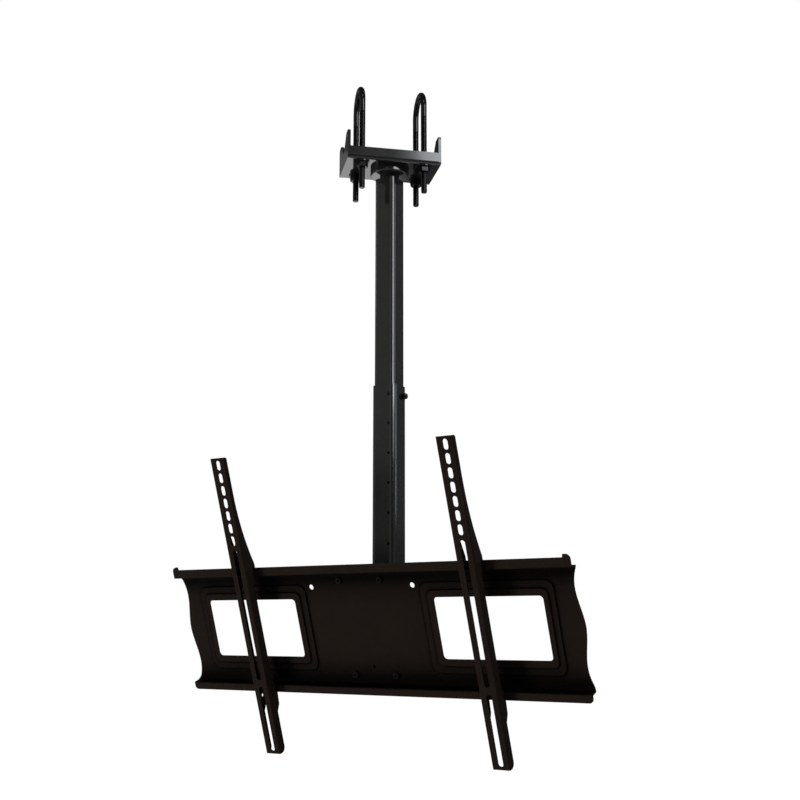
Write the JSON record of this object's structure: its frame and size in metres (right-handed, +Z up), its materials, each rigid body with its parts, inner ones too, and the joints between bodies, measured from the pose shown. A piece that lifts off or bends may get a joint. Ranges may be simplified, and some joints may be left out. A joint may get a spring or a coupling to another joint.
{
  "type": "tv_ceiling_mount",
  "caption": "Black steel ceiling TV mount: truss clamp with U-bolts, swivelling telescopic pole and a tilting windowed plate carrying hook-on slotted rails.",
  "frame": {"origin": "on the axis of the truss tube that the clamp hangs from, right above the pole", "axes": "+Z up along the pole, -Y toward the viewer of the television, +X along the width of the plate"},
  "size_m": [0.7, 0.2723, 1.0882],
  "materials": {
    "powder_coat": "matte brown-black powder coat",
    "gloss_black": "satin black paint with cool highlights",
    "black_hardware": "glossy black coated steel",
    "black_nylon": "matte black nylon"
  },
  "bodies": {
    "clamp": {"clamp_channel": "gloss_black", "end_plate_left": "gloss_black", "end_plate_right": "gloss_black", "u_bolt_left": "black_hardware", "u_bolt_right": "black_hardware", "lower_nuts": "black_hardware", "lower_washers": "black_hardware", "upper_nuts": "black_hardware", "swivel_disc": "gloss_black", "disc_screws": "black_hardware"},
    "upper_pole": {"upper_tube": "gloss_black", "top_cap": "gloss_black", "swivel_bolt": "black_hardware", "swivel_washer": "black_hardware", "swivel_nut": "black_hardware", "tube_foot": "black_nylon"},
    "lower_pole": {"lower_tube": "gloss_black", "side_screw": "black_hardware", "height_screw": "black_hardware", "pole_bracket": "gloss_black", "bracket_bolts": "black_hardware", "bracket_nuts": "black_hardware", "tube_end_cap": "black_nylon", "tilt_bolt": "black_hardware", "tilt_nut": "black_hardware", "tilt_washers": "black_nylon"},
    "tv_plate": {"tv_plate": "powder_coat", "tilt_bracket": "powder_coat", "plate_bolts": "black_hardware", "plate_nuts": "black_hardware"},
    "left_rail": {"left_rail": "powder_coat"},
    "right_rail": {"right_rail": "powder_coat"}
  },
  "joints": [
    {"name": "pole_swivel", "type": "hinge", "parent": "clamp", "child": "upper_pole", "pos_m": [0, 0, -0.05792], "axis": [0, 0, 1], "continuous": true},
    {"name": "height_slide", "type": "slide", "parent": "upper_pole", "child": "lower_pole", "axis": [0, 0, 1], "range_m": [0, 0.23675]},
    {"name": "plate_tilt", "type": "hinge", "parent": "lower_pole", "child": "tv_plate", "pos_m": [0, -0.036, -0.80692], "axis": [1, 0, 0], "range_deg": [-24.4, 0.6]},
    {"name": "left_rail_slide", "type": "slide", "parent": "tv_plate", "child": "left_rail", "axis": [1, 0, 0], "range_m": [-0.12, 0.095]},
    {"name": "right_rail_slide", "type": "slide", "parent": "tv_plate", "child": "right_rail", "axis": [1, 0, 0], "range_m": [-0.101, 0.114]}
  ]
}
